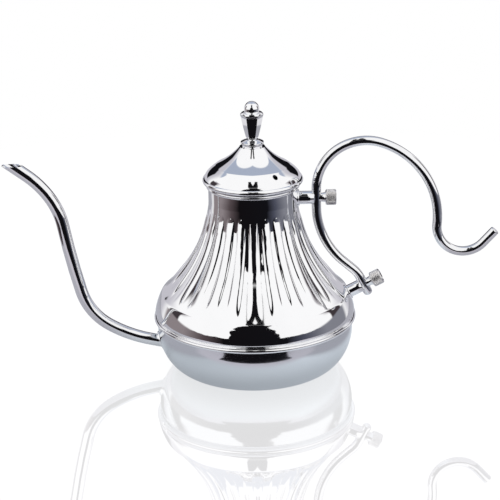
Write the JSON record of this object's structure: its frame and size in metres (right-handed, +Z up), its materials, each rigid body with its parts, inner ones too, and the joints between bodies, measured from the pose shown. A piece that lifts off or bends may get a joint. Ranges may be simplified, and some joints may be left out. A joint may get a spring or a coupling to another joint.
{
  "type": "gooseneck kettle",
  "caption": "Pour-over kettle with a ribbed flared body on a rounded bowl, a thin swan-neck spout, a lift-off domed lid and a bent-rod handle held by thumb screws.",
  "frame": {"origin": "centre of the flat base, on the surface that the kettle stands on", "axes": "+Z up; the spout points to -X and the handle to +X; the front of the kettle faces -Y"},
  "size_m": [0.3148, 0.13, 0.1762],
  "materials": {
    "polished_steel": "mirror-polished stainless steel",
    "bowl_steel": "polished stainless steel with a soft spun haze",
    "bar_steel": "polished stainless rod and tube",
    "knurled_steel": "straight-knurled steel, slightly warm",
    "fastener_steel": "plain turned steel"
  },
  "bodies": {
    "root": {"base_bowl": "bowl_steel", "upper_shell": "polished_steel", "seam_ring": "polished_steel", "mouth_ring": "polished_steel", "spout_tube": "bar_steel", "spout_plate": "polished_steel", "upper_post_plate": "polished_steel", "upper_post": "polished_steel", "lower_post_plate": "polished_steel", "lower_post": "polished_steel", "handle_rod": "bar_steel"},
    "lid": {"lid_shell": "polished_steel", "lid_skirt": "polished_steel", "finial_collar": "polished_steel", "finial_knob": "polished_steel", "finial_screw": "fastener_steel", "finial_washer": "fastener_steel"},
    "upper_saddle_body": {"upper_saddle": "polished_steel"},
    "upper_screw_body": {"upper_thumb_screw": "knurled_steel"},
    "lower_saddle_body": {"lower_saddle": "polished_steel"},
    "lower_screw_body": {"lower_thumb_screw": "knurled_steel"}
  },
  "joints": [
    {"name": "lid_lift", "type": "slide", "parent": "root", "child": "lid", "axis": [0, 0, 1], "range_m": [0, 0.05]},
    {"name": "upper_saddle_slide", "type": "slide", "parent": "root", "child": "upper_saddle_body", "axis": [1, 0, 0], "range_m": [0, 0.006]},
    {"name": "upper_screw_turn", "type": "hinge", "parent": "upper_saddle_body", "child": "upper_screw_body", "pos_m": [0.0401, 0, 0.1125], "axis": [1, 0, 0], "range_deg": [0, 3090]},
    {"name": "lower_saddle_slide", "type": "slide", "parent": "root", "child": "lower_saddle_body", "axis": [0.891, 0, 0.454], "range_m": [0, 0.006]},
    {"name": "lower_screw_turn", "type": "hinge", "parent": "lower_saddle_body", "child": "lower_screw_body", "pos_m": [0.07038, 0, 0.05324], "axis": [0.891, 0, 0.454], "range_deg": [0, 3090]}
  ],
  "couplings": [
    {"joint": "upper_screw_turn", "follows": "upper_saddle_slide", "rad_per_m": 8976},
    {"joint": "lower_screw_turn", "follows": "lower_saddle_slide", "rad_per_m": 8976}
  ]
}
